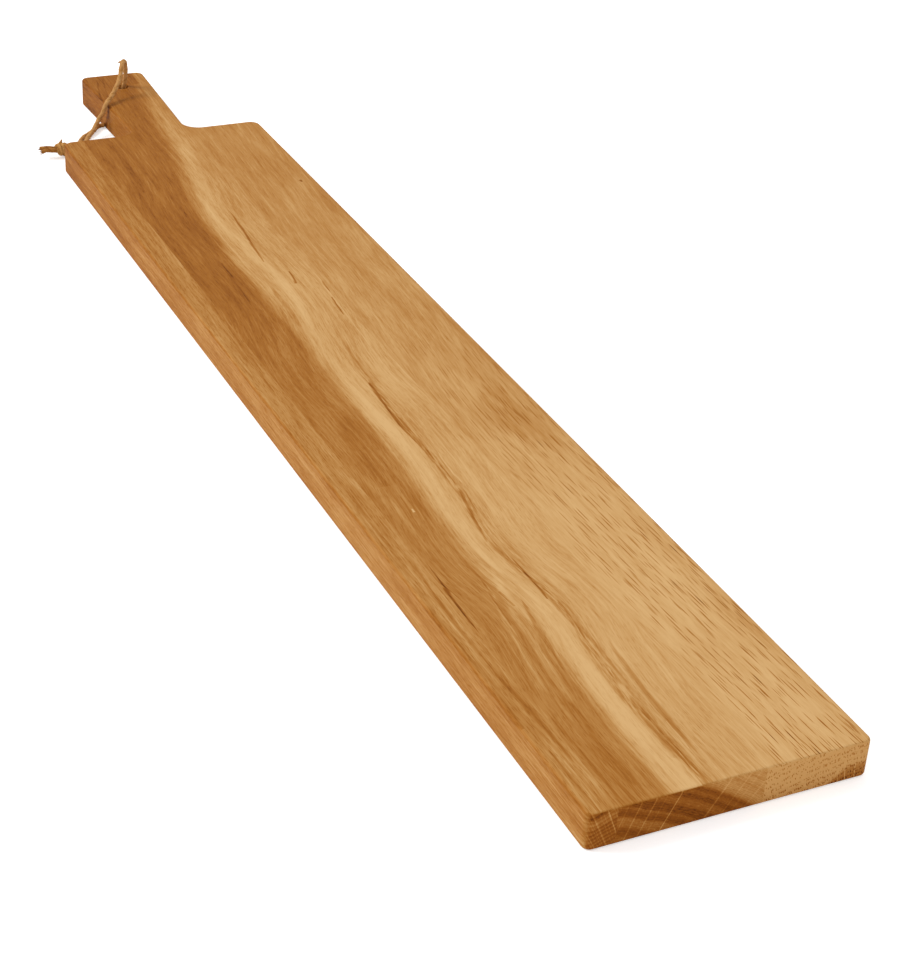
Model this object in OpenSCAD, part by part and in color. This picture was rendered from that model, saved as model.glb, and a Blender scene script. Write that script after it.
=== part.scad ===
// Long handled serving board, glued up from three staves, with a hanging cord.
// Lengths are in millimetres. X runs across the board, Y along it towards the handle, Z up.
// The origin is under the middle of the board, handle included, on the face it lies on.

/* [Board] */
// Length of the blade, from the near end to the shoulders
blade_length = 780; // [300:10:1000]
// Width of the blade
blade_width = 145; // [130:1:260]
// Thickness of the board
thickness = 20; // [12:0.5:40]
// Rounding radius of every outer arris
arris_radius = 1.5; // [0.5:0.1:3]
// Plan radius of the two corners at the near end
near_corner_radius = 4; // [3.5:0.5:12]
// Plan radius of the two shoulder corners
shoulder_corner_radius = 7; // [4:0.5:12]

/* [Handle] */
// Length of the handle beyond the shoulders
handle_length = 120; // [80:1:200]
// Width the straight sides of the handle aim at where they meet its end
handle_width = 48; // [44:0.5:80]
// Angle in degrees by which each side of the handle leans out towards its end
flare = 2.4; // [0:0.1:3]
// Plan radius of the two corners at the end of the handle
handle_corner_radius = 5.5; // [3.5:0.5:6.5]
// Radius of the hollow between each shoulder and the handle
hollow_radius = 12; // [6:0.5:20]

/* [Hanging hole] */
// Diameter of the hole
hole_diameter = 10; // [8:0.5:14]
// Distance from the middle of the hole to the end of the handle
hole_inset = 26; // [15:0.5:40]
// Rounding radius of the two rims of the hole
hole_rim_radius = 1; // [0.5:0.1:1.5]

/* [Staves] */
// Width of the narrow stave on the left
left_stave_width = 14.5; // [13:0.5:40]
// Width of the handle's right edge, at its root, that belongs to the stave on the right
handle_edge_width = 2.5; // [2:0.1:6]

/* [Cord] */
// Diameter of the cord
cord_diameter = 3.5; // [2.5:0.1:3.6]
// Width of the knot at its thickest
knot_width = 11.2; // [9:0.1:14]
// Height of the knot at its thickest
knot_height = 11; // [6:0.1:11]

/* [Hidden] */
$fn = 96;

// How far a cut or a lap runs past the face it works on
overrun = 2;
// Angle in degrees at which the arcs of the handle meet its straight sides and the shoulders
meeting_angle = 5;

left_colour = "#a4733f";
middle_colour = "#8f5b2a";
right_colour = "#b07f49";
cord_colour = "#b98a52";
knot_colour = "#ae7f48";

// Places along the board
near_y = -(blade_length + handle_length) / 2;
shoulder_y = near_y + blade_length;
end_y = shoulder_y + handle_length;
half_width = blade_width / 2;
left_joint_x = left_stave_width - half_width;
hole_y = end_y - hole_inset;

// The right side of the handle, a straight line from its root to its end
end_x = handle_width / 2;
root_x = end_x - handle_length * tan(flare);
side_length = handle_length / cos(flare);
right_joint_x = root_x - handle_edge_width;
// The handle and the hollows reach into the blade, past the rounding of its shoulders
lap = arris_radius + overrun;

// Middle of the hollow on the right, between the shoulder and the side of the handle
hollow_y = shoulder_y + hollow_radius * cos(meeting_angle);
hollow_x = root_x + hollow_radius * cos(meeting_angle) * (1 + sin(flare)) / cos(flare);

// Middle of the rounding at the right end of the handle
corner_y = end_y - handle_corner_radius;
corner_x = end_x - handle_corner_radius * (tan(flare) + cos(meeting_angle) / cos(flare));

// Middles of the blade's corner roundings on the right
near_corner = [half_width - near_corner_radius, near_y + near_corner_radius];
shoulder_corner = [half_width - shoulder_corner_radius, shoulder_y - shoulder_corner_radius];

// The cord, from the bottom of the hole up, over the handle's left edge and down to the knot
upper_route = [[2, 425, 1], [2, 425, 8], [2, 425, 14], [2.2, 424.2, 20], [2.6, 422.4, 25.4],
    [2.8, 421.4, 30.6], [2.8, 421, 35.4], [1.6, 418.8, 40.4], [-1.2, 414.4, 42.4], [-3.6, 410.4, 40],
    [-5.2, 407.8, 35.6], [-8, 404.2, 31], [-11.6, 400.4, 27.6], [-15.4, 396, 25], [-18.8, 391.8, 23.6],
    [-21.8, 389, 22.2], [-23.8, 387.8, 19.4], [-25, 387.6, 16.2], [-26.6, 388, 13.2],
    [-28.8, 387.4, 10.4], [-31.4, 384.8, 8], [-34.6, 380.6, 6.2], [-38, 376.4, 5], [-41.8, 371.8, 3.8],
    [-45.2, 366.6, 2.8], [-48.2, 361.2, 2.6], [-51, 356, 3.4], [-55, 352.2, 4.8], [-59.6, 350.5, 5.8],
    [-63, 350.5, 5.8]];
// The cord's other leg, from under the handle's left edge to the knot
lower_route = [[-22.2, 396.6, 1.9], [-25.6, 396.6, 1.9], [-28.8, 394, 1.9], [-31.8, 389.8, 1.9],
    [-36, 384.8, 1.9], [-41, 380.4, 1.9], [-45, 375.8, 1.9], [-48.2, 370, 2], [-51.2, 364, 2.4],
    [-54.2, 358.4, 3.6], [-57, 355.6, 5], [-60, 354.5, 5.8], [-63, 354.5, 5.8]];
// The two short tails past the knot
left_tail_route = [[-71, 350.5, 5.8], [-74.4, 350.5, 5.8], [-77.8, 351.6, 5.8], [-81.2, 353.8, 5.2]];
right_tail_route = [[-71, 354.5, 5.8], [-74.4, 354.5, 5.8], [-77.8, 356.2, 6], [-81.2, 359.4, 5.8]];

cord_sides = 8;
knot_sides = 24;
knot_rings = 16;
// Turns that one wrap of the knot makes along it, and how many wraps lie side by side
knot_turns = 0.75;
knot_wraps = 2;
// How far the wraps stand out, as a share of the knot's radius
knot_wrap_share = 0.09;
// Half width and half height of the knot's flat ends
knot_mouth = [4.2, 2.5];

// The staves

// Region that is cut away along an arris. The outer face is at zero, the board below zero.
module arris_cut(radius) {
    difference() {
        translate([-radius, thickness - radius]) square(radius + overrun);
        translate([-radius, thickness - radius]) circle(radius);
    }
    difference() {
        translate([-radius, -overrun]) square(radius + overrun);
        translate([-radius, radius]) circle(radius);
    }
}

// Rounds the upper and lower arris of a straight side. The board lies to the left of the way
// from start to finish.
module round_side(start, finish) {
    way = finish - start;
    translate([start.x, start.y, 0])
        rotate([0, 0, atan2(way.y, way.x) - 90])
            rotate([90, 0, 0])
                mirror([0, 0, 1])
                    linear_extrude(norm(way)) arris_cut(arris_radius);
}

// Rounds the arrises of a quarter turn whose middle lies in the board
module round_corner(middle, radius, from) {
    translate([middle.x, middle.y, 0])
        rotate([0, 0, from])
            rotate_extrude(angle = 90) translate([radius, 0]) arris_cut(arris_radius);
}

// A bore through the board whose rims are rounded
module bore(radius, rounding) {
    rotate_extrude() {
        translate([0, -overrun]) square([radius, thickness + overrun * 2]);
        translate([radius, 0]) mirror([1, 0]) arris_cut(rounding);
    }
}

module blade_outline() {
    union() {
        translate([-half_width, near_corner.y])
            square([blade_width, shoulder_corner.y - near_corner.y]);
        translate([-near_corner.x, near_y]) square([near_corner.x * 2, near_corner_radius + overrun]);
        translate([-shoulder_corner.x, shoulder_corner.y - overrun])
            square([shoulder_corner.x * 2, shoulder_corner_radius + overrun]);
        for (side = [-1, 1]) {
            translate([side * near_corner.x, near_corner.y]) circle(near_corner_radius);
            translate([side * shoulder_corner.x, shoulder_corner.y]) circle(shoulder_corner_radius);
        }
    }
}

module blade_corner_arrises() {
    round_corner(near_corner, near_corner_radius, -90);
    round_corner(shoulder_corner, shoulder_corner_radius, 0);
}

module blade() {
    difference() {
        linear_extrude(thickness) blade_outline();
        round_side([-near_corner.x, near_y], [near_corner.x, near_y]);
        round_side([half_width, near_corner.y], [half_width, shoulder_corner.y]);
        round_side([shoulder_corner.x, shoulder_y], [-shoulder_corner.x, shoulder_y]);
        round_side([-half_width, shoulder_corner.y], [-half_width, near_corner.y]);
        blade_corner_arrises();
        mirror([1, 0, 0]) blade_corner_arrises();
    }
}

// Places its children on the right side of the handle, which runs along their Y axis
module at_side() {
    translate([root_x, shoulder_y, 0]) rotate([0, 0, -flare]) children();
}

// A slab with the rounded end of the handle, whose upright sides clear the slanting ones
module end_slab() {
    blank_x = corner_x + handle_corner_radius;
    root_y = shoulder_y - lap;
    difference() {
        linear_extrude(thickness)
            union() {
                translate([-blank_x, root_y]) square([blank_x * 2, corner_y - root_y]);
                translate([-corner_x, root_y]) square([corner_x * 2, end_y - root_y]);
                for (side = [-1, 1])
                    translate([side * corner_x, corner_y]) circle(handle_corner_radius);
            }
        round_side([corner_x, end_y], [-corner_x, end_y]);
        round_corner([corner_x, corner_y], handle_corner_radius, 0);
        mirror([1, 0, 0]) round_corner([corner_x, corner_y], handle_corner_radius, 0);
    }
}

// A slab to the left of the handle's right side, longer than the handle at both ends
module side_slab() {
    at_side()
        difference() {
            translate([-blade_width, -blade_width, 0])
                cube([blade_width, side_length + blade_width * 2, thickness]);
            round_side([0, -blade_width - overrun], [0, side_length + blade_width + overrun]);
        }
}

module handle() {
    intersection() {
        end_slab();
        side_slab();
        mirror([1, 0, 0]) side_slab();
    }
}

// The wood between the shoulder, the right side of the handle and the hollow
module root() {
    reach = hollow_radius + lap;
    translate([hollow_x, hollow_y, 0])
        difference() {
            translate([-reach, -reach, 0]) cube([reach, reach, thickness]);
            bore(hollow_radius, arris_radius);
        }
}

module board() {
    difference() {
        union() {
            blade();
            handle();
            root();
            mirror([1, 0, 0]) root();
        }
        translate([0, hole_y, 0]) bore(hole_diameter / 2, hole_rim_radius);
    }
}

// The part of the board between two joints
module stave(from_x, to_x) {
    intersection() {
        board();
        translate([from_x, near_y - overrun, -overrun])
            cube([to_x - from_x, end_y - near_y + overrun * 2, thickness + overrun * 2]);
    }
}

module stave_left() {
    color(left_colour) stave(-half_width - overrun, left_joint_x);
}

module stave_middle() {
    color(middle_colour) stave(left_joint_x, right_joint_x);
}

module stave_right() {
    color(right_colour) stave(right_joint_x, half_width + overrun);
}

// The cord

function last(list) = list[len(list) - 1];
function unit(v) = v / norm(v);

// Direction of a route at one of its points
function heading(route, i) =
    unit(route[min(i + 1, len(route) - 1)] - route[max(i - 1, 0)]);

// A vector without the part of it that runs along a direction
function across(v, direction) = unit(v - (v * direction) * direction);

// A vector square to the route at each point, carried along without twist
function carried(route, start) =
    [for (i = 0, v = across(start, heading(route, 0)); i < len(route);
        i = i + 1, v = i < len(route) ? across(v, heading(route, i)) : v) v];

function ring(middle, u, v, radius, sides) =
    [for (k = [0:sides - 1]) middle + radius * (cos(360 * k / sides) * u + sin(360 * k / sides) * v)];

// Triangles between rings of points that follow each other, closed by a flat face at each end
function tube_faces(rings, sides) = concat(
    [[for (k = [0:sides - 1]) k]],
    [[for (k = [0:sides - 1]) rings * sides - 1 - k]],
    [for (i = [0:rings - 2], k = [0:sides - 1])
        [i * sides + k, (i + 1) * sides + k, i * sides + (k + 1) % sides]],
    [for (i = [0:rings - 2], k = [0:sides - 1])
        [i * sides + (k + 1) % sides, (i + 1) * sides + k, (i + 1) * sides + (k + 1) % sides]]);

// A length of cord, square at its ends
module cord(route) {
    across_route = carried(route, [0, 1, 0]);
    points = [for (i = [0:len(route) - 1]) each
        ring(route[i], across_route[i], cross(heading(route, i), across_route[i]),
            cord_diameter / 2, cord_sides)];
    polyhedron(points, tube_faces(len(route), cord_sides));
}

// The knot is a barrel with wraps of cord winding round it. Both legs go in at one flat end,
// side by side, and both tails come out at the other.
module knot() {
    entry = (last(upper_route) + last(lower_route)) / 2;
    way_out = (left_tail_route[0] + right_tail_route[0]) / 2;
    swell = [knot_width / 2, knot_height / 2] / (1 + knot_wrap_share) - knot_mouth;
    points = [for (i = [0:knot_rings], k = [0:knot_sides - 1])
        let (along = i / knot_rings)
        let (bulge = sqrt(sin(180 * along)))
        let (angle = 360 * k / knot_sides)
        let (wrap = 1 + knot_wrap_share * bulge * cos(knot_wraps * (angle - 360 * knot_turns * along)))
        let (half = wrap * (knot_mouth + bulge * swell))
        entry + along * (way_out - entry) + [0, -half.x * cos(angle), half.y * sin(angle)]];
    polyhedron(points, tube_faces(knot_rings + 1, knot_sides));
}

module cord_upper() {
    color(cord_colour) cord(upper_route);
}

module cord_lower() {
    color(cord_colour) cord(lower_route);
}

module cord_knot() {
    color(knot_colour) knot();
}

module cord_tail_left() {
    color(cord_colour) cord(left_tail_route);
}

module cord_tail_right() {
    color(cord_colour) cord(right_tail_route);
}

stave_left();
stave_middle();
stave_right();
cord_upper();
cord_lower();
cord_knot();
cord_tail_left();
cord_tail_right();
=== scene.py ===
import math
import random
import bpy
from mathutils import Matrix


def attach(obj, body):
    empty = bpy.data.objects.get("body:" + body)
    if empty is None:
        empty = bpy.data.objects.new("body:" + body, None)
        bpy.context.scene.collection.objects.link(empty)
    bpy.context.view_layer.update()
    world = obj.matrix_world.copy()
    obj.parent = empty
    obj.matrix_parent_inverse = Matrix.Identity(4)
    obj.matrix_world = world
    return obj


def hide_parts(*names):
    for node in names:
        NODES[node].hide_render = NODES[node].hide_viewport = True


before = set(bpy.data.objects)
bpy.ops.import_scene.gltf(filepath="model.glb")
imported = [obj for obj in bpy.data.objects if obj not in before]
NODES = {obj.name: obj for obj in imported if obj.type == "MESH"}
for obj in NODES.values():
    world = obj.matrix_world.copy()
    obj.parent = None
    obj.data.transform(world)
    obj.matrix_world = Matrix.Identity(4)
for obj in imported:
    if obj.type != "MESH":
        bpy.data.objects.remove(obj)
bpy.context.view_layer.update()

from types import SimpleNamespace

import bpy
from mathutils import Matrix, Vector

MM = 0.001
# The board's length in millimetres. Places along it count from its near end.
BOARD_LENGTH = 900

# Camera

# Where the photograph was taken from, in metres, and the turns about each axis in order, in radians
CAMERA_PLACE = (-0.445757, -1.035797, 0.591011)
CAMERA_TURNS = [("Z", -0.3458587), ("X", 1.0275446), ("Y", -0.1071315)]
SENSOR_WIDTH = 36
LENS = 84.5946
CLIP_START = 50 * MM


def make_camera():
    data = bpy.data.cameras.new("camera")
    data.sensor_fit = "HORIZONTAL"
    data.sensor_width = SENSOR_WIDTH
    data.lens = LENS
    data.clip_start = CLIP_START
    camera = bpy.data.objects.new("camera", data)
    bpy.context.collection.objects.link(camera)
    place = Matrix.Translation(CAMERA_PLACE)
    for axis, turn in CAMERA_TURNS:
        place = place @ Matrix.Rotation(turn, 4, axis)
    camera.matrix_world = place
    bpy.context.scene.camera = camera


make_camera()


# Shader nodes

def linear(code):
    """A colour written as six hex digits, as the shader takes it."""
    parts = [int(code[i:i + 2], 16) / 255 for i in (0, 2, 4)]
    return tuple(c / 12.92 if c <= 0.04045 else ((c + 0.055) / 1.055) ** 2.4 for c in parts) + (1,)


class Field:
    """A number that varies over a surface, made of shader nodes."""

    def __init__(self, tree, socket):
        self.tree = tree
        self.socket = socket

    def math(self, operation, *others):
        node = self.tree.nodes.new("ShaderNodeMath")
        node.operation = operation
        for slot, value in zip(node.inputs, (self, *others)):
            if isinstance(value, Field):
                self.tree.links.new(value.socket, slot)
            else:
                slot.default_value = value
        return Field(self.tree, node.outputs[0])

    def __add__(self, other):
        return self.math("ADD", other)

    __radd__ = __add__

    def __sub__(self, other):
        return self.math("SUBTRACT", other)

    def __rsub__(self, other):
        return self * -1 + other

    def __mul__(self, other):
        return self.math("MULTIPLY", other)

    def __truediv__(self, other):
        return self.math("DIVIDE", other)

    def size(self):
        return self.math("ABSOLUTE")

    def clamp(self):
        return self.math("MAXIMUM", 0).math("MINIMUM", 1)

    def step(self, start, full):
        """0 up to the start and 1 from full on, smooth between them. Full may be below the start."""
        node = self.tree.nodes.new("ShaderNodeMapRange")
        node.interpolation_type = "SMOOTHSTEP"
        self.tree.links.new(self.socket, node.inputs["Value"])
        node.inputs["From Min"].default_value = min(start, full)
        node.inputs["From Max"].default_value = max(start, full)
        node.inputs["To Min"].default_value = 0 if start < full else 1
        node.inputs["To Max"].default_value = 1 if start < full else 0
        return Field(self.tree, node.outputs[0])

    def curve(self, points, low=-100, high=100, span=BOARD_LENGTH):
        """The value here of a curve through (place, value) points. Places run from 0 to the span, and
        values from low to high."""
        node = self.tree.nodes.new("ShaderNodeFloatCurve")
        line = node.mapping.curves[0].points
        spots = [(p / span, (q - low) / (high - low)) for p, q in points]
        for spot, place in zip(line, (spots[0], spots[-1])):
            spot.location = place
        for place in spots[1:-1]:
            line.new(*place)
        node.mapping.update()
        self.tree.links.new((self / span).socket, node.inputs["Value"])
        return Field(self.tree, node.outputs[0]) * (high - low) + low


def vector(x, y, z):
    """Three numbers as one vector. The first is a field, and the others are fields or plain numbers."""
    node = x.tree.nodes.new("ShaderNodeCombineXYZ")
    for slot, value in zip(node.inputs, (x, y, z)):
        if isinstance(value, Field):
            x.tree.links.new(value.socket, slot)
        else:
            slot.default_value = value
    return node.outputs[0]


def noise(x, y, z, detail=2, roughness=0.5):
    """Noise from about -1 to 1."""
    node = x.tree.nodes.new("ShaderNodeTexNoise")
    x.tree.links.new(vector(x, y, z), node.inputs["Vector"])
    node.inputs["Scale"].default_value = 1
    node.inputs["Detail"].default_value = detail
    node.inputs["Roughness"].default_value = roughness
    return Field(x.tree, node.outputs["Fac"]) * 4 - 2


def cells(x, y):
    """Distance to the nearest of scattered points, one to a unit square, and a random number for it."""
    node = x.tree.nodes.new("ShaderNodeTexVoronoi")
    node.voronoi_dimensions = "2D"
    x.tree.links.new(vector(x, y, 0), node.inputs["Vector"])
    node.inputs["Scale"].default_value = 1
    split = x.tree.nodes.new("ShaderNodeSeparateColor")
    x.tree.links.new(node.outputs["Color"], split.inputs[0])
    return Field(x.tree, node.outputs["Distance"]), Field(x.tree, split.outputs[0])


def ramp(field, stops):
    """The colour at a tone, from (tone, colour) stops."""
    node = field.tree.nodes.new("ShaderNodeValToRGB")
    band = node.color_ramp.elements
    while len(band) < len(stops):
        band.new(0.5)
    for element, (place, code) in zip(band, stops):
        element.position = place
        element.color = linear(code)
    field.tree.links.new(field.socket, node.inputs[0])
    return node.outputs[0]


def tinted(colour, tint, share):
    """A colour multiplied by a tint, as far as the share says."""
    node = share.tree.nodes.new("ShaderNodeMix")
    node.data_type = "RGBA"
    node.blend_type = "MULTIPLY"
    share.tree.links.new(share.socket, node.inputs["Factor"])
    share.tree.links.new(colour, node.inputs["A"])
    node.inputs["B"].default_value = tint
    return node.outputs["Result"]


def new_material(name):
    material = bpy.data.materials.new(name)
    material.use_nodes = True
    tree = material.node_tree
    return material, tree, tree.nodes["Principled BSDF"]


def places(tree):
    """Place across, along and up the board in millimetres, and the three shares of the surface's
    direction."""
    coordinates = tree.nodes.new("ShaderNodeTexCoord")
    out = []
    for name in ("Object", "Normal"):
        split = tree.nodes.new("ShaderNodeSeparateXYZ")
        tree.links.new(coordinates.outputs[name], split.inputs[0])
        out.append([Field(tree, socket) for socket in split.outputs])
    x, y, z = (p * 1000 for p in out[0])
    return x, y + BOARD_LENGTH / 2, z, out[1]


def attribute(tree, name):
    """A number that the points of the mesh carry."""
    node = tree.nodes.new("ShaderNodeAttribute")
    node.attribute_name = name
    return Field(tree, node.outputs["Fac"])


def bumped(tree, shader, height, distance):
    """Gives a shader bumps of a height, in units of the distance."""
    node = tree.nodes.new("ShaderNodeBump")
    node.inputs["Strength"].default_value = 1
    node.inputs["Distance"].default_value = distance
    tree.links.new(height.socket, node.inputs["Height"])
    tree.links.new(node.outputs[0], shader.inputs["Normal"])


# Cord

CORD = 3.5 * MM
CORD_SIDES = 28
PATH_STEP = 0.4 * MM
# Plies in the cord, and the length in which they turn once
PLIES = 2
PLY_PITCH = 15 * MM
# Shares of the cord's radius: its mean, the swell of the plies and the groove between them
PLY_MEAN = 0.95
PLY_SWELL = 0.05
PLY_GROOVE = 0.03

# Loose fibres: the longest, their radius at the root, what they lose of it by the tip, and how far from
# the cord's middle they start, as a share of its diameter
HAIR_LENGTH = 2.2 * MM
HAIR_RADIUS = 0.075 * MM
HAIR_TAPER = 0.06 * MM
HAIR_ROOT = 0.42
# The lowest that a fibre may lie
TABLE_GAP = 0.2 * MM

# Routes, in millimetres. The two legs run as their CAD solids do. The tails follow the photograph, up to
# 2.5 mm off theirs.
UPPER = [(2, 425, 1), (2, 425, 8), (2, 425, 14), (2.2, 424.2, 20), (2.6, 422.4, 25.4),
    (2.8, 421.4, 30.6), (2.8, 421, 35.4), (1.6, 418.8, 40.4), (-1.2, 414.4, 42.4), (-3.6, 410.4, 40),
    (-5.2, 407.8, 35.6), (-8, 404.2, 31), (-11.6, 400.4, 27.6), (-15.4, 396, 25), (-18.8, 391.8, 23.6),
    (-21.8, 389, 22.2), (-23.8, 387.8, 19.4), (-25, 387.6, 16.2), (-26.6, 388, 13.2),
    (-28.8, 387.4, 10.4), (-31.4, 384.8, 8), (-34.6, 380.6, 6.2), (-38, 376.4, 5), (-41.8, 371.8, 3.8),
    (-45.2, 366.6, 2.8), (-48.2, 361.2, 2.6), (-51, 356, 3.4), (-55, 352.2, 4.8), (-59.6, 350.5, 5.8),
    (-63, 350.5, 5.8)]
LOWER = [(-22.2, 396.6, 1.9), (-25.6, 396.6, 1.9), (-28.8, 394, 1.9), (-31.8, 389.8, 1.9),
    (-36, 384.8, 1.9), (-41, 380.4, 1.9), (-45, 375.8, 1.9), (-48.2, 370, 2), (-51.2, 364, 2.4),
    (-54.2, 358.4, 3.6), (-57, 355.6, 5), (-60, 354.5, 5.8), (-63, 354.5, 5.8)]
TAIL_LEFT = [(-71, 350.5, 5.8), (-74.4, 351.2, 6.2), (-77.8, 352.4, 6.2), (-81.2, 352.8, 4.8)]
TAIL_RIGHT = [(-71, 354.5, 5.8), (-74.4, 354.2, 6.4), (-77.8, 354.8, 6.8), (-81.2, 357, 6.2)]

# Tufts of fibres, in millimetres: root, tip and radius
LOOP_TUFT = ((-1, 416, 41.6), (-4.8, 416, 41.6), 1.5)
KNOT_TUFT = ((-67.4, 354.5, 8.4), (-66, 353.4, 13), 1.7)

# Frayed ends: how many fibres, their radius, and how far across the cord they start, as a share of its radius
FRAY_COUNT = 34
FRAY_RADIUS = 0.16 * MM
FRAY_SPREAD = 0.7
# How much thinner a tail is at its end
TAIL_TAPER = 0.25

# The knot, in millimetres: its ends, the two strands through it, their height, and its size across and up
KNOT_ENDS = (-71, -63)
KNOT_STRANDS = (350.5, 354.5)
KNOT_UP = 5.8
KNOT_SIZE = (11.2, 10.6)
# Its turns: where each starts along it, and its share of the knot's size
KNOT_TURNS = [(-63.2, 0.92), (-65.4, 1), (-68, 0.86)]
# One turn: its points, its first angle and its sweep in degrees, how far it moves along the knot and leans,
# and how low it hangs
TURN_POINTS = 29
TURN_START = -100
TURN_SWEEP = 430
TURN_ADVANCE = 0.9
TURN_LEAN = 0.9
TURN_SAG = 0.3


def metres(route):
    """A route in millimetres as points in metres."""
    return [Vector(p) * MM for p in route]


def smooth(points):
    """Points about a step apart on a curve through the given points."""
    ends = [points[0] * 2 - points[1]] + points + [points[-1] * 2 - points[-2]]
    out = []
    for a, b, c, d in zip(ends, ends[1:], ends[2:], ends[3:]):
        n = max(1, round((c - b).length / PATH_STEP))
        for i in range(n):
            t = i / n
            out.append(0.5 * (2 * b + (c - a) * t + (2 * a - 5 * b + 4 * c - d) * t ** 2
                + (3 * b - 3 * c + d - a) * t ** 3))
    return out + [points[-1]]


def length_of(path):
    return sum((b - a).length for a, b in zip(path, path[1:]))


def frames_along(path):
    """Two directions across the path at each point, carried along it without twist."""
    out = []
    across = Vector((0, 1, 0))
    for i in range(len(path)):
        ahead = (path[min(i + 1, len(path) - 1)] - path[max(i - 1, 0)]).normalized()
        across = (across - across.dot(ahead) * ahead).normalized()
        out.append((across, ahead.cross(across)))
    return out


def plied(angle, run):
    """Outline of plies laid together, as a share of the cord's radius."""
    turn = PLIES * (angle - math.tau * run / PLY_PITCH)
    return PLY_MEAN + PLY_SWELL * math.cos(turn) - PLY_GROOVE * max(0, -math.cos(turn)) ** 4


def above_table(points):
    """The points, none of them below the table."""
    return [Vector((p.x, p.y, max(p.z, TABLE_GAP))) for p in points]


class Tubes:
    """A mesh of tubes. Its points carry their distance along the tube and their angle round it."""

    def __init__(self):
        self.points, self.faces, self.runs, self.turns = [], [], [], []

    def add(self, path, radius, sides, section=None):
        """Adds a tube. The radius is a number or a function of the distance along the path, and the
        section gives the share of it at an angle and a distance."""
        first = len(self.points)
        run = 0
        for i, (point, (u, v)) in enumerate(zip(path, frames_along(path))):
            if i:
                run += (point - path[i - 1]).length
            for k in range(sides):
                angle = math.tau * k / sides
                r = radius(run) if callable(radius) else radius
                r *= section(angle, run) if section else 1
                self.points.append(point + r * (math.cos(angle) * u + math.sin(angle) * v))
                self.runs.append(run)
                self.turns.append(angle)
        rings = len(path)
        for i in range(rings - 1):
            for k in range(sides):
                a, b = first + i * sides + k, first + i * sides + (k + 1) % sides
                self.faces.append((a, b, b + sides, a + sides))
        self.faces.append(tuple(first + k for k in reversed(range(sides))))
        self.faces.append(tuple(first + (rings - 1) * sides + k for k in range(sides)))

    def add_hairs(self, path, count, seed):
        """Adds loose fibres that stand off a cord."""
        dice = random.Random(seed)
        across = frames_along(path)
        for _ in range(count):
            i = dice.randrange(len(path))
            u, v = across[i]
            angle = dice.uniform(0, math.tau)
            out = math.cos(angle) * u + math.sin(angle) * v
            ahead = u.cross(v) * dice.choice((-1, 1))
            root = path[i] + out * CORD * HAIR_ROOT
            # It leans out of the cord, runs along it and curls away
            reach = dice.uniform(0.35, 1) * HAIR_LENGTH
            lean = dice.uniform(0.2, 0.8)
            hair = above_table([root + (out * lean * t + ahead * t * (1.2 - lean) + out * 0.3 * t * t) * reach
                for t in (0, 0.35, 0.7, 1)])
            whole = length_of(hair)
            self.add(hair, lambda run: HAIR_RADIUS - HAIR_TAPER * run / whole, 4)

    def add_fray(self, path, seed):
        """Adds the fibres into which a cord's end opens."""
        dice = random.Random(seed)
        ahead = (path[-1] - path[-3]).normalized()
        u, v = frames_along(path)[-1]
        for _ in range(FRAY_COUNT):
            angle = dice.uniform(0, math.tau)
            out = math.cos(angle) * u + math.sin(angle) * v
            root = path[-4] + out * CORD / 2 * FRAY_SPREAD * math.sqrt(dice.random())
            reach = dice.uniform(1.2, 3.2) * MM
            flare = dice.uniform(0, 0.5)
            hair = above_table([root + (ahead * t + out * flare * t * t) * reach
                for t in (0, 0.4, 0.75, 1)])
            self.add(hair, lambda run: FRAY_RADIUS * (1.05 - run / (reach * 1.6)), 5)

    def add_tuft(self, root, tip, radius):
        """Adds a tapering tuft of fibres, in millimetres."""
        root, tip = Vector(root) * MM, Vector(tip) * MM
        bend = (root + tip) / 2 + Vector((0, 0, 0.3 * MM))
        path = smooth([root, bend, tip])
        whole = length_of(path)
        self.add(path, lambda run: radius * MM * (1.05 - run / whole), 10)

    def piece(self, name, material):
        """Makes the mesh an object of the scene."""
        mesh = bpy.data.meshes.new(name)
        mesh.from_pydata([tuple(p) for p in self.points], [], self.faces)
        for title, values in (("run", self.runs), ("turn", self.turns)):
            mesh.attributes.new(title, "FLOAT", "POINT").data.foreach_set("value", values)
        mesh.polygons.foreach_set("use_smooth", [True] * len(mesh.polygons))
        mesh.materials.append(material)
        obj = bpy.data.objects.new(name, mesh)
        bpy.context.collection.objects.link(obj)
        return obj


# Twine, from its darkest tone to its palest
CORD_STOPS = [(0, "6d4114"), (0.35, "966028"), (0.65, "b47f42"), (1, "d09f64")]
KNOT_STOPS = [(0, "6a3a0c"), (0.35, "8f5519"), (0.65, "ad7735"), (1, "cb9a5c")]
# Where the knot is painted darker, in millimetres across, as it nears the board's corner: painted shade in
# the gap between knot and board
KNOT_MOUTH_SHADE = (-65, -63.5)


def twine(name, mean, stops, mouth_shade=0):
    """Twine by its mean tone, and by how much painted shade darkens the mouth of the knot by the board's
    corner.
    """
    material, tree, shader = new_material(name)
    run = attribute(tree, "run") * 1000
    turn = attribute(tree, "turn")
    laid = turn - run * (math.tau / (PLY_PITCH / MM))
    x, along, z, _ = places(tree)
    fibre = noise(laid.math("COSINE") * 4, laid.math("SINE") * 4, run / 9, 3, 0.6)
    blotch = noise(x / 3, along / 3, z / 3, 2)
    # The groove between the plies is painted darker: painted shade
    groove = (laid * PLIES).math("COSINE").step(-0.5, -1)
    tone = mean + fibre * 0.18 + blotch * 0.14 - groove * 0.14 - x.step(*KNOT_MOUTH_SHADE) * mouth_shade
    tree.links.new(ramp(tone.clamp(), stops), shader.inputs["Base Color"])
    shader.inputs["Roughness"].default_value = 0.8
    shader.inputs["Specular IOR Level"].default_value = 0.2
    bumped(tree, shader, fibre, 0.12 * MM)
    return material


TWINE = twine("twine", 0.82, CORD_STOPS)
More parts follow.
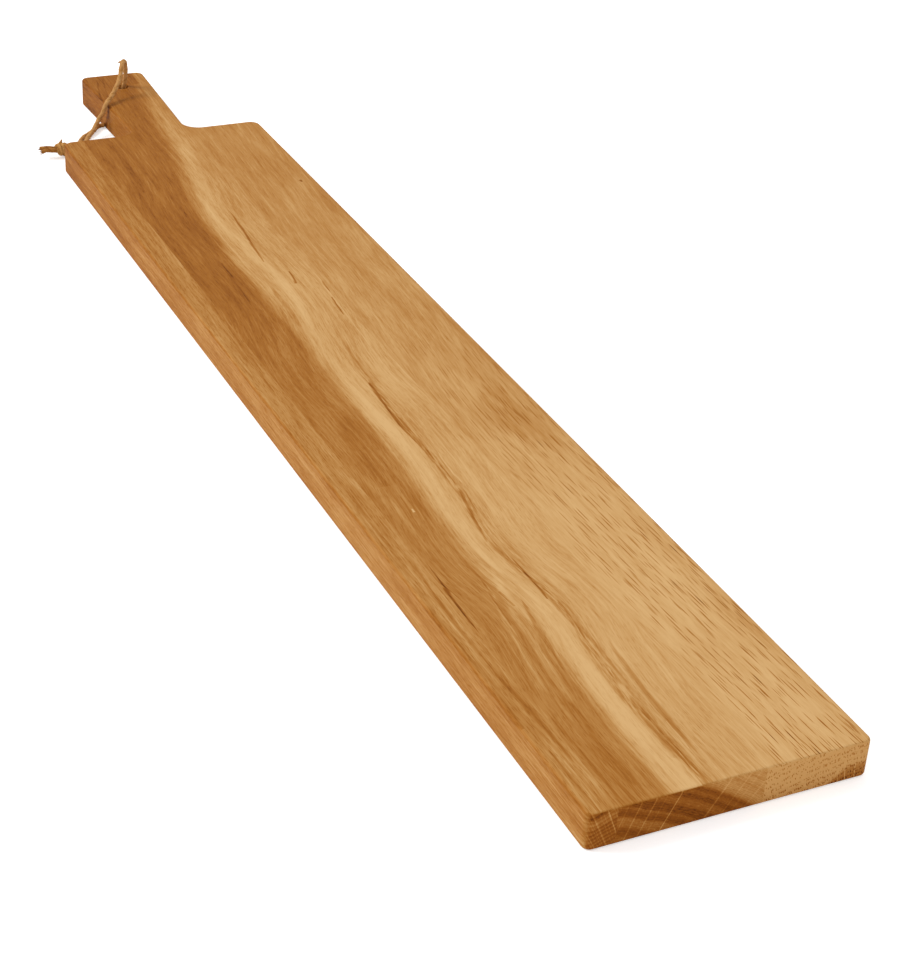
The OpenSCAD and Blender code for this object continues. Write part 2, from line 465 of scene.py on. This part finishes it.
# The lower leg is the same twine made darker: painted shade, as it lies in the handle's shade
TWINE_LOWER_SHADED = twine("twine_lower", 0.7, CORD_STOPS)
# The knot gets painted shade at its mouth by the board's corner
TWINE_KNOT = twine("twine_knot", 0.8, KNOT_STOPS, 0.4)
TWINE_TAIL = twine("twine_tail", 0.52, KNOT_STOPS)


def leg_pieces(name, route, material, seed, hair_count, tuft=None):
    """A leg of the cord, its loose fibres as a piece of their own, and the path that it follows."""
    path = smooth(metres(route))
    cord, fibres = Tubes(), Tubes()
    cord.add(path, CORD / 2, CORD_SIDES, plied)
    fibres.add_hairs(path, hair_count, seed)
    if tuft:
        fibres.add_tuft(*tuft)
    return cord.piece(name, material), fibres.piece(name + "_fibres", material), path


def tail_piece(name, route, seed):
    """A tail with its end frayed."""
    path = smooth(metres(route))
    whole = length_of(path)
    tubes = Tubes()
    tubes.add(path, lambda run: CORD / 2 * (1 - TAIL_TAPER * (run / whole) ** 4), CORD_SIDES, plied)
    tubes.add_hairs(path, 25, seed)
    tubes.add_fray(path, seed)
    return tubes.piece(name, TWINE_TAIL)


def turn_route(start, size):
    """The route of one turn of the knot, which swells out of its middle and goes back into it."""
    wide, high = ((whole - CORD / MM) / 2 * size for whole in KNOT_SIZE)
    middle = sum(KNOT_STRANDS) / 2
    route = []
    for i in range(TURN_POINTS):
        t = i / (TURN_POINTS - 1)
        a = math.radians(TURN_START + TURN_SWEEP * t)
        swell = math.sin(math.pi * t) ** 0.35 if 0 < t < 1 else 0
        lean = TURN_LEAN * (math.cos(a) + math.sin(a)) * swell
        route.append((start - TURN_ADVANCE * t - lean, middle + wide * swell * math.sin(a),
            KNOT_UP - TURN_SAG + high * swell * math.cos(a)))
    return route


def knot_piece():
    """Both strands go through the middle, and the turns wrap round them."""
    tubes = Tubes()
    left, right = KNOT_ENDS
    for y in KNOT_STRANDS:
        strand = [(x, y, KNOT_UP) for x in (right, (left + right) / 2, left)]
        tubes.add(smooth(metres(strand)), CORD / 2, CORD_SIDES, plied)
    for i, (start, size) in enumerate(KNOT_TURNS):
        path = smooth(metres(turn_route(start, size)))
        tubes.add(path, CORD / 2, CORD_SIDES, plied)
        tubes.add_hairs(path, 24, 21 + i)
    tubes.add_tuft(*KNOT_TUFT)
    return tubes.piece("twine_knot", TWINE_KNOT)


upper, upper_fibres, upper_path = leg_pieces("twine_upper", UPPER, TWINE, 3, 150, LOOP_TUFT)
lower, lower_fibres, lower_path = leg_pieces("twine_lower", LOWER, TWINE_LOWER_SHADED, 5, 60)
tail_left = tail_piece("twine_tail_left", TAIL_LEFT, 11)
tail_right = tail_piece("twine_tail_right", TAIL_RIGHT, 12)
knot = knot_piece()
for piece, node in ((upper, "cord_upper"), (lower, "cord_lower"), (knot, "cord_knot"),
        (tail_left, "cord_tail_left"), (tail_right, "cord_tail_right")):
    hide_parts(node)
for piece in (upper, upper_fibres, lower, lower_fibres, knot, tail_left, tail_right):
    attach(piece, "root")
length_of(upper_path)
length_of(lower_path)


# Oak

# From its darkest tone to its palest, and what the end grain's colour is multiplied by
TONES = [(0, "582b02"), (0.2, "8a5013"), (0.4, "9f6525"), (0.6, "b27e41"), (0.8, "c5985f"), (1, "d1a871")]
END_TINT = (1, 0.87, 0.7, 1)
# Place on the end grain, across and up, where arcs round the pith are measured in true millimetres
ARC_PLACE = (16, 10)


def streak(x, along, points, strength):
    """A streak of another tone. The points give place along, place across and half width."""
    middle = along.curve([(p[0], p[1]) for p in points])
    half = along.curve([(p[0], p[2]) for p in points], 0, 20)
    widest = max(p[2] for p in points)
    inside = (1 - (x - middle).size() / half.math("MAXIMUM", 0.01)).step(0, 0.8)
    return inside * (half / widest).step(0.05, 0.7) * strength


def streaked(tone, x, along, streaks):
    """A tone with streaks added to it."""
    for points, strength in streaks:
        tone = tone + streak(x, along, points, strength)
    return tone


def lines(field, gap, width, seed):
    """Thin lines at uneven places across a field, by a gap and a width in its units."""
    node = field.tree.nodes.new("ShaderNodeTexVoronoi")
    node.voronoi_dimensions = "1D"
    node.inputs["Scale"].default_value = 1
    field.tree.links.new((field / gap + seed).socket, node.inputs["W"])
    return Field(field.tree, node.outputs["Distance"]).step(width / gap / 2, width / gap / 5)


def dashes(across, along, gap, length, share, thick=0.28):
    """Short lines along the grain, one to each gap across it and length along it, a share of them shown."""
    at, kind = cells(across / gap, along / length)
    return at.step(thick, thick * 0.4) * kind.step(1 - share, 1.15 - share)


def grain(g, fibre, fine, broad, cloud, late, pore):
    """The tone that the grain adds to a face, from the strength of each of its layers."""
    return (g.fibre * fibre + g.fine * fine + g.broad * broad + g.cloud * cloud
        - g.late * late - g.pore * pore)


def oak(name, pith, ring_width, flow, figure):
    """Oak whose rings lie round a pith outside the board. The flow bends its grain across the board,
    and the figure gives the tone of the faces and of the end grain."""
    material, tree, shader = new_material(name)
    x, along, z, facing = places(tree)
    # How much the surface is end grain, a side or a rounded arris
    end = facing[1].size().step(0.5, 0.85)
    flank = facing[0].size().step(0.5, 0.9)
    arris = facing[2].size().step(0.98, 0.85) * facing[2].size().step(0.05, 0.3)

    # Place across the grain, which wanders and follows the flow
    wander = noise(x / 60, along / 160, z / 60, 1) * 1.2 + noise(x / 14, along / 45, z / 14, 2) * 0.6
    wander = wander * along.step(0, 25)
    across = x - along.curve(flow) + wander
    g = SimpleNamespace(x=x, along=along, z=z, across=across, wander=wander, flank=flank)

    # Growth rings: distance from the pith, arc round it and the dark late wood of each ring
    out_x = x - pith[0] + wander * 0.6
    out_z = z - pith[1]
    g.radius = (out_x * out_x + out_z * out_z).math("SQRT") + noise(x / 16, along / 120, z / 16, 2) * 0.7
    g.around = out_x.math("ARCTAN2", out_z) * math.dist(pith, ARC_PLACE)
    ring = g.radius / ring_width + noise(g.radius / 9, along / 400, 0.5, 1) * 0.3
    part = ring.math("FRACT")
    g.late = part.step(0.25, 0.85) * part.step(1, 0.93)

    # Layers of the grain on the faces, fine to broad, and the pores there
    g.fibre = noise(across / 0.6, along / 16, z / 0.6, 3, 0.65)
    g.fine = noise(across / 1.3, along / 24, z / 1.3, 3, 0.6)
    g.broad = noise(across / 3.2, along / 60, z / 5, 4, 0.6)
    g.cloud = noise(across / 16, along / 60, z / 16, 3)
    g.pore = dashes(across + z, along, 0.8, 9, 0.7)

    # Cut ends of the pores, which lie in the early wood of each ring, and the texture of the end grain
    rim_at, rim_kind = cells(g.around / 0.85 + ring.math("FLOOR") * 0.37, g.radius / 1.9)
    early = part.step(0.02, 0.12) * part.step(0.74, 0.54)
    g.rim = rim_at.step(0.48, 0.22) * rim_kind.step(0.1, 0.4) * early
    g.grit = noise(g.around / 3, g.radius / 0.5, along / 40, 3, 0.6)

    face_tone, end_tone = figure(g)
    # Sides and arrises are painted darker than the top: painted shade, for how the lamp lights them
    tone = (face_tone - flank * 0.06 - arris * 0.08) * (1 - end) + end_tone * end
    tree.links.new(tinted(ramp(tone.clamp(), TONES), END_TINT, end), shader.inputs["Base Color"])
    rough = 0.62 + g.fibre * 0.04 + g.pore * 0.1 + end * 0.08
    tree.links.new(rough.socket, shader.inputs["Roughness"])
    shader.inputs["Specular IOR Level"].default_value = 0.07
    bumped(tree, shader, g.fibre * 0.2 - g.pore * 0.8 * (1 - end) - g.rim * end, 0.05 * MM)
    return material


# The left stave

# Each streak: place along, place across and half width, and how much paler or darker it is
LEFT_STREAKS = [
    ([(32, -61.2, 0), (50, -61.5, 1.3), (80, -63, 1.6), (102, -64.4, 0.9), (112, -64.6, 0)], -0.15),
    ([(104, -64.4, 0), (120, -64.4, 0.8), (160, -64, 1), (200, -63, 1.2), (235, -62, 1),
      (252, -61.5, 0)], -0.1),
    ([(60, -71.3, 0), (80, -71.3, 1.6), (140, -71.3, 1.6), (168, -71, 0)], -0.13),
    ([(0, -67, 0.4), (20, -67, 1.4), (48, -67.5, 0)], -0.14),
    ([(0, -70, 0.6), (15, -70, 1.3), (52, -69.6, 0)], 0.1),
    ([(150, -67.5, 0), (200, -67.5, 1.2), (290, -66, 1.4), (330, -65, 0)], -0.1),
    ([(380, -65, 0), (420, -62, 1.8), (470, -60.5, 2), (520, -60, 0)], -0.12),
]
# A pale band on its side: place along, place up and half width
LEFT_SIDE_BAND = [(0, 13.5, 3), (400, 13, 3.5), (900, 13.5, 3)]
LEFT_DRIFT = [(0, 0.6), (300, 0.62), (600, 0.54), (900, 0.44)]
# The rings on its end, by distance from the pith: where the pale ones start, and the dark ones past them
LEFT_PALE = (133.5, 135.5)
LEFT_DARK = (138.3, 139.5)


def figure_left(g):
    face = g.along.curve(LEFT_DRIFT, 0, 1)
    face = face + grain(g, fibre=0.12, fine=0.1, broad=0.13, cloud=0.07, late=0.05, pore=0.14)
    face = streaked(face, g.x + g.broad * 0.7, g.along, LEFT_STREAKS)
    # The side is painted darker from 680 to 770 along: painted shade
    face = face + streak(g.z, g.along, LEFT_SIDE_BAND, 0.07) - g.flank * g.along.step(680, 770) * 0.09
    end = 0.38 + g.radius.step(*LEFT_PALE) * 0.17 - g.radius.step(*LEFT_DARK) * 0.27 - g.late * 0.2
    end = end + g.grit * 0.05 - g.rim * 0.12
    return face, end + lines(g.around, 6, 0.7, 3.1) * 0.26 + lines(g.around, 1.5, 0.5, 1.4) * 0.12


# The middle stave

# The border between its dark left and its pale right, and the tone of each along the board
BORDER = [(0, -34), (100, -31), (200, -33), (300, -28), (400, -27), (450, -25), (500, -25), (560, -27),
    (600, -24), (650, -20), (700, -12), (750, -4), (800, 3), (850, 9), (900, 15)]
BORDER_HALF = 6
DARK_SIDE = [(0, 0.5), (100, 0.54), (200, 0.54), (300, 0.52), (400, 0.47), (450, 0.42), (500, 0.36),
    (600, 0.32), (700, 0.38), (800, 0.35), (900, 0.3)]
PALE_SIDE = [(0, 0.82), (150, 0.84), (300, 0.83), (400, 0.8), (500, 0.77), (600, 0.73), (700, 0.67),
    (800, 0.63), (900, 0.57)]
PALE_STREAKS = [
    ([(0, -23.5, 9), (50, -25.5, 8), (100, -22.5, 6.5), (140, -18.5, 6), (165, -20, 3), (200, -25, 6),
      (250, -22.5, 5.5), (300, -18.5, 5.5), (350, -18.5, 6), (400, -19.5, 4.5), (450, -14.5, 3.5),
      (500, -8.5, 4.5), (560, -10, 7), (620, -12, 9), (680, -3, 10), (740, 5, 8), (800, 10, 4.5),
      (900, 17, 2.5)], 0.16),
    ([(80, -49, 0), (100, -47, 1.5), (130, -43, 2), (160, -38.5, 1.5), (176, -36, 0)], 0.14),
    ([(70, -42, 0), (110, -38, 4), (140, -35, 4), (165, -31, 3), (190, -27, 0)], 0.14),
    ([(244, -42, 0), (247, -41.9, 1), (250, -41.8, 0)], 0.75),
    ([(24, -9.6, 0), (36, -9, 0.7), (48, -8.6, 0)], 0.16),
    ([(106, -8.6, 0), (122, -7, 0.7), (136, -4.6, 0)], 0.16),
    ([(0, -16.5, 1), (10, -17, 1.4), (24, -19, 0)], 0.12),
    ([(262, -6, 0), (280, -5.6, 0.7), (300, -4.2, 0)], 0.2),
    ([(362, 7, 0), (400, 8.5, 0.7), (450, 11.5, 0.7), (500, 14.5, 0.6), (530, 16, 0)], 0.14),
]
DARK_STREAKS = [
    ([(10, -44, 0), (30, -44, 5), (60, -44, 5.5), (85, -44.5, 4), (102, -45, 0)], -0.08),
    ([(134, -57.8, 0), (150, -57.6, 0.8), (165, -57.2, 1), (182, -56.8, 0.8), (204, -55.6, 0)], -0.38),
    ([(86, -34, 0), (100, -33, 0.9), (120, -31, 1.3), (134, -29.2, 1.7), (147, -27, 1.2),
      (160, -25, 0)], -0.22),
    ([(20, -7.6, 0), (35, -7.4, 1.6), (62, -6.6, 2.6), (80, -5.4, 2.8), (100, -3.6, 1.6),
      (116, -2.4, 0)], -0.2),
    ([(0, -55, 0.5), (15, -55, 1.6), (60, -56, 1.2), (80, -57, 0)], -0.08),
    ([(136, -41, 0), (155, -39, 1), (168, -37.5, 0.8), (180, -37, 0)], -0.22),
    ([(150, -31, 0), (158, -32, 1), (168, -33, 0)], -0.2),
    ([(148, -14, 0), (160, -13.4, 0.9), (176, -13.4, 0.8), (196, -14.2, 0)], -0.35),
    ([(272, -46, 0), (295, -44, 12), (330, -40, 10), (352, -38, 0)], -0.09),
    ([(300, -11, 0), (335, -11.6, 1.1), (355, -11, 1), (372, -9.8, 1.4), (384, -8.8, 0)], -0.38),
    ([(458, -20, 0), (475, -19, 3), (495, -18, 4), (512, -17, 2), (522, -17, 0)], -0.14),
    ([(466, 11, 0), (478, 11.8, 0.8), (487, 12.8, 0.8), (494, 13.4, 0)], -0.36),
    ([(499, 15.6, 0), (507, 16.2, 1), (517, 16.8, 0)], -0.36),
    ([(515, -0.3, 0), (524, 0.6, 1.1), (531, 1.3, 1), (537, 1.6, 0)], -0.4),
    ([(550, -8.2, 0), (565, -7, 1.2), (580, -6.2, 1.2), (600, -4, 1), (625, -2.5, 0.6),
      (642, -2, 0)], -0.36),
    ([(498, -36.5, 0), (520, -35.7, 1.3), (545, -34.7, 1.4), (562, -34, 0)], -0.14),
    ([(560, -33, 0), (590, -31.5, 1.6), (640, -31, 1.6), (685, -30.5, 0)], -0.06),
    ([(590, -10, 0), (640, -7, 8), (700, 0, 9), (750, 7, 7), (800, 12, 0)], -0.06),
    ([(206, -19, 0), (225, -16.2, 1.2), (245, -12.6, 1.2), (262, -9.6, 0)], -0.2),
    ([(212, -15, 0), (235, -11.6, 1), (258, -7.6, 0)], -0.16),
    ([(262, -9.4, 0), (285, -8.8, 1), (304, -8.6, 0)], -0.14),
    ([(845, -20.5, 0), (857, -21, 0.8), (871, -18.6, 0.9), (884, -15.4, 0.7), (894, -14.8, 0)], -0.16),
    ([(846, -17.6, 0), (868, -14, 0.8), (884, -10.4, 0.8), (896, -9, 0)], -0.12),
    ([(872, 12, 0), (884, 13, 5), (900, 15, 6)], -0.14),
    ([(676, -46, 0), (700, -43.5, 3), (740, -42.5, 3), (780, -41, 2), (802, -41, 0)], -0.12),
]
# The brown vein along the pale wave, and the wider shade round it
BROWN_VEIN = [(0, -14.4, 2.6), (20, -14.5, 3.4), (60, -16.6, 4.4), (107, -13.6, 4.4), (150, -11, 3.6),
    (200, -17, 2.4), (250, -12, 2.6), (300, -10, 2.6), (350, -10, 2.4), (400, -6, 1.4), (450, -3, 0)]
VEIN_HALO = [(0, -11, 4), (60, -12, 6), (110, -9, 6), (150, -8, 6), (200, -11, 6), (260, -8, 6.5),
    (320, -6, 6.5), (380, -5, 6), (430, -2, 4), (480, 2, 0)]
# The painted shadow of the twine on the handle's left side: place along at the underside, how much nearer it
# comes for each millimetre up, and where its edge fades out and is full
CORD_SHADOW_PLACE = 844.5
CORD_SHADOW_LEAN = 0.47
CORD_SHADOW_EDGE = (2.8, 1.4)
# Tone of the heartwood's rings on the end, by distance from HEART_START, which is out from the pith
HEART_START = 170
HEART_SPAN = 60
HEART = [(0, 0.28), (4, 0.26), (7.5, 0.1), (9.5, 0.14), (12, 0.34), (14.5, 0.32), (16.3, 0.08),
    (18.5, 0.1), (19.7, 0.22), (21, 0.06), (24, 0.06), (25.5, 0.2), (28, 0.22), (30, 0.05), (32, 0.14),
    (33, 0.2), (34.8, 0.08), (36.5, 0.34), (38.5, 0.55), (42, 0.66), (44, 0.58), (47, 0.7), (49, 0.62),
    (52, 0.7), (60, 0.68)]
# Pale rays on the end: place round the pith, and how much paler they are
RAYS = [(75.2, 0.12), (82.1, 0.24), (89.7, 0.26), (94.7, 0.12), (102, 0.38), (124.4, 0.26), (132.6, 0.14),
    (137, 0.1), (142.7, 0.16)]


def middle_end(g):
    """The tone of the middle stave's end grain."""
    heart = (g.radius - HEART_START).curve(HEART, 0, 1, HEART_SPAN)
    pale = heart.step(0.4, 0.6)
    end = heart + 0.07 + g.grit * 0.16 + g.rim * (heart.step(0.08, 0.2) * 0.1 - pale * 0.16)
    end = end + lines(g.radius, 1, 0.5, 0.7) * (0.06 + pale * 0.04)
    for place, strength in RAYS:
        end = end + (g.around - place).size().step(0.55, 0.15) * strength
    return end + lines(g.around, 1.7, 0.5, 2.2) * 0.04


def figure_middle(g):
    x, along = g.x + g.wander * 0.35, g.along
    ragged = x + noise(g.across / 3, along / 40, g.z / 8, 3) * 0.9
    dark = along.curve(DARK_SIDE, 0, 1)
    pale = along.curve(PALE_SIDE, 0, 1)
    side = (ragged - along.curve(BORDER)).step(-BORDER_HALF, BORDER_HALF)
    face = streaked(dark + (pale - dark) * side, ragged, along, PALE_STREAKS + DARK_STREAKS)
    # A painted shadow of the twine, a dark line down the handle's left side
    cord_shadow = (along + g.z * CORD_SHADOW_LEAN - CORD_SHADOW_PLACE).size().step(*CORD_SHADOW_EDGE)
    cord_shadow = cord_shadow * x.step(-19, -19.8) * along.step(790, 800)
    # The handle's sides are painted lighter by the shoulder and darker further along: painted light and shade
    face = face - cord_shadow * 0.24 + g.flank * (along.step(775, 790) * 0.14 - along.step(820, 860) * 0.15)
    broken = noise(g.across / 1.2, along / 14, 0.5, 3, 0.6).step(-0.9, 0.5)
    face = face + streak(ragged, along, BROWN_VEIN, -0.3) * broken
    face = face + streak(ragged, along, VEIN_HALO, -0.13) * broken
    face = face + grain(g, fibre=0.11, fine=0.09, broad=0.12, cloud=0.06, late=0.03, pore=0.1)
    return face, middle_end(g)


# The right stave

RIGHT_STREAKS = [
    ([(262, 64, 0), (295, 56, 14), (325, 48, 24), (350, 56, 12), (372, 62, 0)], -0.1),
    ([(663.5, 62, 0), (667, 62, 0.9), (670.5, 62, 0)], -0.5),
    ([(330, 70, 0), (360, 70, 2), (420, 69, 2.4), (470, 69, 0)], -0.1),
]
RIGHT_DRIFT = [(0, 0.92), (200, 0.9), (320, 0.78), (450, 0.72), (650, 0.65), (900, 0.57)]
# Its pore lines: how dark they are along the board, and the shift, gap across, length along, share shown and
# thickness of each layer
PORE_DEPTH = [(0, 0.5), (120, 0.48), (250, 0.38), (350, 0.26), (450, 0.1), (900, 0.07)]
PORE_LINES = [(0, 1.5, 44, 0.85, 0.24), (50, 1.2, 26, 0.45, 0.22)]
# The brown corner of its end lies on the pith's side of CORNER_EDGE, by distance from the pith. Its border
# falls left of CORNER_BEND.
CORNER_EDGE = (188.6, 186)
CORNER_BEND = 60


def right_end(g):
    """The tone of the right stave's end grain."""
    low = g.z.step(9, 1)
    corner = (g.radius + (CORNER_BEND - g.x).math("MAXIMUM", 0) * 0.6).step(*CORNER_EDGE)
    end = 1.05 - corner * 0.34 - low * 0.2 - g.x.step(40, 72) * 0.06 - g.late * 0.07
    end = end - g.rim * (0.5 + low * 0.12) + g.grit * 0.07
    return end + lines(g.around, 5.5, 0.8, 1.3) * (corner * 0.2 + 0.08) + lines(g.around, 1.1, 0.4, 4.2) * 0.1


def figure_right(g):
    across = g.across + g.z - g.wander * 0.7
    face = g.along.curve(RIGHT_DRIFT, 0, 1)
    face = face + grain(g, fibre=0.09, fine=0.07, broad=0.08, cloud=0.06, late=0.04, pore=0.06)
    x = g.x + g.broad * 0.7
    depth = g.along.curve(PORE_DEPTH, 0, 1) * x.step(10, 36)
    for shift, gap, length, share, thick in PORE_LINES:
        face = face - dashes(across + shift, g.along, gap, length, share, thick) * depth
    face = face - x.step(52, 72) * g.along.step(450, 250) * 0.08
    return streaked(face, x, g.along, RIGHT_STREAKS), right_end(g)


# Each stave: its figure, its pith across and up, the width of its rings and how its grain bends, as places
# along the board and shifts across it
STAVES = {
    "left": (figure_left, (-13, -111), 2.1, [(0, 0), (200, -3), (450, -2), (700, 1), (900, 2)]),
    "middle": (figure_middle, (-118, -160), 3.2, [(0, 0), (50, -2), (100, 1), (140, 5), (200, -1.5),
        (250, 1), (300, 5), (350, 5), (400, 4), (450, 9), (500, 14), (560, 13), (620, 12), (700, 18),
        (800, 22), (900, 26)]),
    "right": (figure_right, (81, -178), 3.2, [(0, 0), (120, -4.5), (250, -8), (320, -8), (400, -2),
        (480, 5), (600, 12), (700, 19), (900, 28)]),
}
for name, (figure, pith, ring_width, flow) in STAVES.items():
    material = oak("oak_" + name, pith, ring_width, flow, figure)
    stave = NODES["stave_" + name]
    if not stave.material_slots:
        stave.data.materials.append(material)
    for slot in stave.material_slots:
        slot.material = material


# Floor and light

FLOOR_SIZE = 30
FLOOR_DROP = 0.3 * MM
# Light that the camera and reflections see the floor give off, which takes its lit parts up to white
FLOOR_LIFT = 0.46
SKY_STRENGTH = 0.78
LAMP_PLACE = (-4, 2.1, 4)
LAMP_SIZE = 2.4
LAMP_POWER = 195


def make_floor():
    bpy.ops.mesh.primitive_plane_add(size=FLOOR_SIZE, location=(0, 0, -FLOOR_DROP))
    floor = bpy.context.object
    floor.name = "floor"
    material, tree, shader = new_material("floor")
    shader.inputs["Base Color"].default_value = (0.9, 0.9, 0.9, 1)
    shader.inputs["Roughness"].default_value = 0.9
    shader.inputs["Specular IOR Level"].default_value = 0
    rays = tree.nodes.new("ShaderNodeLightPath")
    seen = Field(tree, rays.outputs["Is Camera Ray"]) + Field(tree, rays.outputs["Is Glossy Ray"]) \
        + Field(tree, rays.outputs["Is Transmission Ray"])
    shader.inputs["Emission Color"].default_value = (1, 1, 1, 1)
    tree.links.new((seen.clamp() * FLOOR_LIFT).socket, shader.inputs["Emission Strength"])
    floor.data.materials.append(material)


def make_light():
    world = bpy.data.worlds.new("studio")
    world.use_nodes = True
    world.node_tree.nodes["Background"].inputs["Color"].default_value = (1, 1, 1, 1)
    world.node_tree.nodes["Background"].inputs["Strength"].default_value = SKY_STRENGTH
    bpy.context.scene.world = world

    key = bpy.data.lights.new("key", "AREA")
    key.shape = "DISK"
    key.size = LAMP_SIZE
    key.energy = LAMP_POWER
    lamp = bpy.data.objects.new("key", key)
    bpy.context.collection.objects.link(lamp)
    lamp.location = LAMP_PLACE
    lamp.rotation_euler = (-lamp.location).to_track_quat("-Z", "Y").to_euler()


make_floor()
make_light()
bpy.context.scene.view_settings.view_transform = "Standard"
